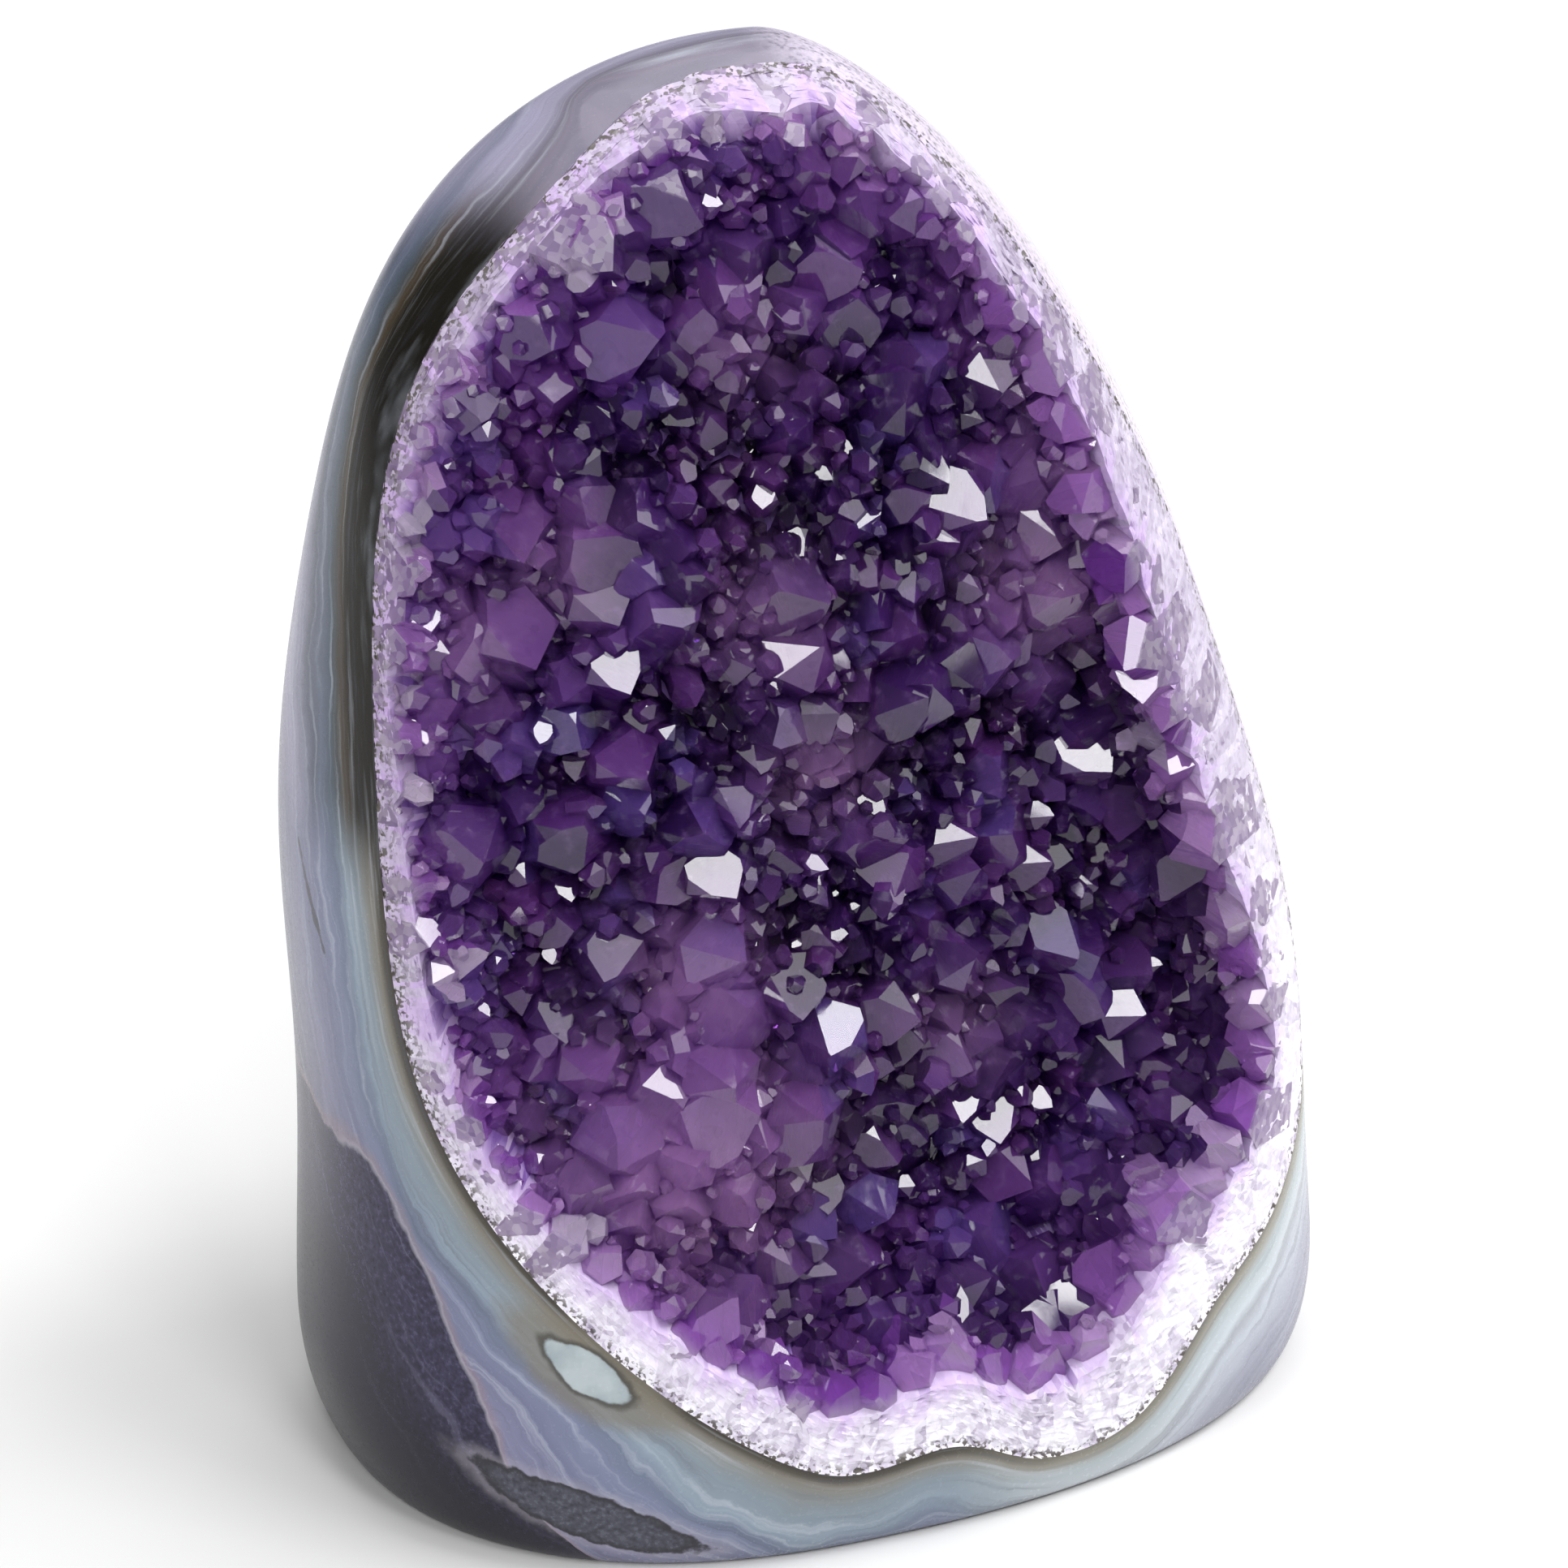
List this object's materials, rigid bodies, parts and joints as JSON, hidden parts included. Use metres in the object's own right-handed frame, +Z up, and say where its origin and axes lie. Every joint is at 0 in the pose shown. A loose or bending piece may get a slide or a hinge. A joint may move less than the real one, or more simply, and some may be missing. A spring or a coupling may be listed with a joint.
{
  "type": "amethyst geode",
  "caption": "Free-standing amethyst geode with a sawn flat foot, polished agate sides and an open front lined with white quartz and violet crystal points",
  "frame": {"origin": "middle of the sawn foot, on the floor", "axes": "+Z up through the stone's rounded top, -Y out of the open crystal front, +X to the right of that front"},
  "size_m": [0.0834, 0.0552, 0.11],
  "materials": {
    "agate": "polished banded agate stone",
    "amethyst": "natural crystal faces, violet points on white quartz"
  },
  "bodies": {
    "root": {"agate_rind": "agate", "crystal_crust": "amethyst"}
  },
  "joints": []
}
